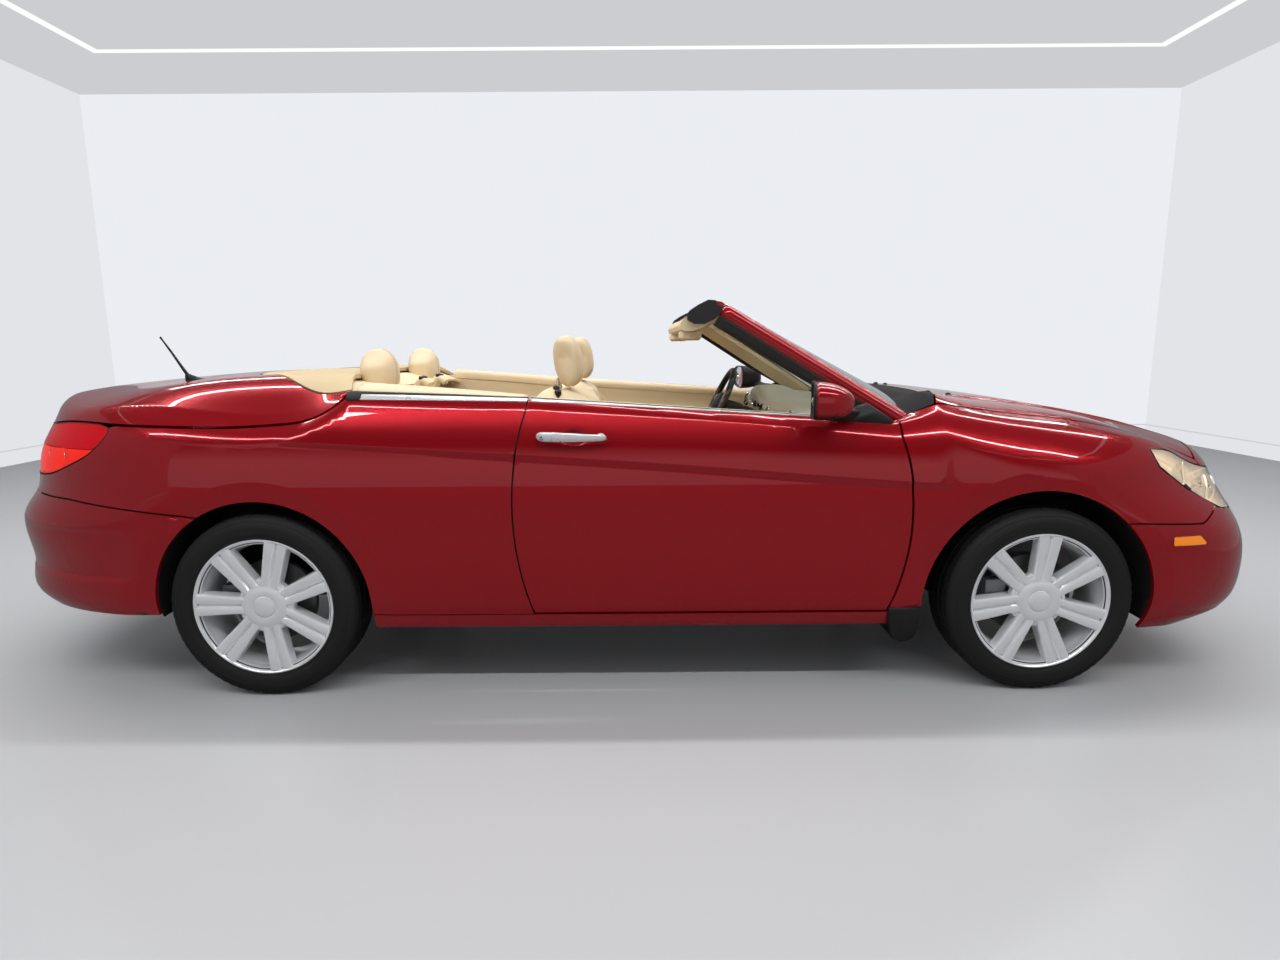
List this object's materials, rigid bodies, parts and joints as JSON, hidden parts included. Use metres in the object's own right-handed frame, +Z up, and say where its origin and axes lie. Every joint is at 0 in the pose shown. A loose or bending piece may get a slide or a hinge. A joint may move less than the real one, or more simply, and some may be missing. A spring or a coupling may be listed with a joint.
{
  "type": "convertible car",
  "caption": "Four-seat convertible car with its roof down, opening doors, hood and deck lid, steered front wheels and turning road wheels.",
  "frame": {"origin": "on the ground, under the middle of the car's overall length and width", "axes": "+X to the front of the car, +Y to its left side, +Z up"},
  "size_m": [4.9291, 2.114, 1.404],
  "materials": {
    "body_paint": "deep red gloss clear coat",
    "underbody": "dull black coating",
    "liner_plastic": "black matte",
    "grille_metal": "bright bars",
    "cover_trim": "beige grained",
    "screen_glass": "faintly green, clear",
    "dash_plastic": "dark grained",
    "wheel_leather": "black grained",
    "seat_leather": "beige, soft sheen",
    "lamp_clear": "clear lens",
    "lamp_red": "red lens",
    "engine_alloy": "cast",
    "chassis_steel": "dark",
    "exhaust_steel": "dull",
    "antenna_black": "black",
    "bright_trim": "mirror bright",
    "wheel_alloy": "bright silver lacquer",
    "tyre_rubber": "black"
  },
  "bodies": {
    "body": {"floor_pan": "underbody", "wheelhouses": "liner_plastic", "sills": "body_paint", "front_bumper": "body_paint", "rear_bumper": "body_paint", "grille": "grille_metal", "left_front_fender": "body_paint", "right_front_fender": "body_paint", "left_quarter_panel": "body_paint", "right_quarter_panel": "body_paint", "tonneau_cover": "cover_trim", "cowl_panel": "liner_plastic", "windscreen_frame": "body_paint", "windscreen_glass": "screen_glass", "dashboard": "dash_plastic", "centre_console": "dash_plastic", "front_seats": "seat_leather", "rear_seat": "seat_leather", "headlamps": "lamp_clear", "tail_lamps": "lamp_red", "engine": "engine_alloy", "front_subframe": "chassis_steel", "rear_axle": "chassis_steel", "exhaust": "exhaust_steel", "fuel_tank": "liner_plastic"},
    "hood": {"hood": "body_paint"},
    "deck_lid": {"deck_lid": "body_paint", "antenna": "antenna_black"},
    "left_door": {"left_door": "body_paint", "left_mirror": "body_paint", "left_handle": "bright_trim"},
    "right_door": {"right_door": "body_paint", "right_mirror": "body_paint", "right_handle": "bright_trim"},
    "steering_wheel": {"steering_wheel": "wheel_leather"},
    "left_knuckle": {"left_knuckle": "chassis_steel"},
    "right_knuckle": {"right_knuckle": "chassis_steel"},
    "front_left_wheel": {"front_left_wheel": "wheel_alloy", "front_left_tyre": "tyre_rubber"},
    "front_right_wheel": {"front_right_wheel": "wheel_alloy", "front_right_tyre": "tyre_rubber"},
    "rear_left_wheel": {"rear_left_wheel": "wheel_alloy", "rear_left_tyre": "tyre_rubber"},
    "rear_right_wheel": {"rear_right_wheel": "wheel_alloy", "rear_right_tyre": "tyre_rubber"}
  },
  "joints": [
    {"name": "left_steer", "type": "hinge", "parent": "body", "child": "left_knuckle", "pos_m": [1.485, 0.725, 0.336], "axis": [0, 0, 1], "range_deg": [-33, 33]},
    {"name": "front_left_spin", "type": "hinge", "parent": "left_knuckle", "child": "front_left_wheel", "pos_m": [1.485, 0.785, 0.336], "axis": [0, 1, 0], "continuous": true},
    {"name": "rear_left_spin", "type": "hinge", "parent": "body", "child": "rear_left_wheel", "pos_m": [-1.28, 0.785, 0.336], "axis": [0, 1, 0], "continuous": true},
    {"name": "left_door_hinge", "type": "hinge", "parent": "body", "child": "left_door", "pos_m": [0.99, 0.904, 0.7], "axis": [0, 0, -1], "range_deg": [0, 65]},
    {"name": "right_steer", "type": "hinge", "parent": "body", "child": "right_knuckle", "pos_m": [1.485, -0.725, 0.336], "axis": [0, 0, 1], "range_deg": [-33, 33]},
    {"name": "front_right_spin", "type": "hinge", "parent": "right_knuckle", "child": "front_right_wheel", "pos_m": [1.485, -0.785, 0.336], "axis": [0, 1, 0], "continuous": true},
    {"name": "rear_right_spin", "type": "hinge", "parent": "body", "child": "rear_right_wheel", "pos_m": [-1.28, -0.785, 0.336], "axis": [0, 1, 0], "continuous": true},
    {"name": "right_door_hinge", "type": "hinge", "parent": "body", "child": "right_door", "pos_m": [0.99, -0.904, 0.7], "axis": [0, 0, 1], "range_deg": [0, 65]},
    {"name": "steering_wheel_turn", "type": "hinge", "parent": "body", "child": "steering_wheel", "pos_m": [0.455, 0.37, 0.948], "axis": [-0.9063, 0, 0.4226], "range_deg": [-500, 500]},
    {"name": "hood_hinge", "type": "hinge", "parent": "body", "child": "hood", "pos_m": [1.105, 0, 1.06], "axis": [0, -1, 0], "range_deg": [0, 50]},
    {"name": "deck_lid_hinge", "type": "hinge", "parent": "body", "child": "deck_lid", "pos_m": [-0.93, 0, 1.11], "axis": [0, 1, 0], "range_deg": [0, 55]}
  ],
  "couplings": [
    {"joint": "right_steer", "follows": "left_steer", "ratio": 1},
    {"joint": "steering_wheel_turn", "follows": "left_steer", "ratio": 15}
  ]
}
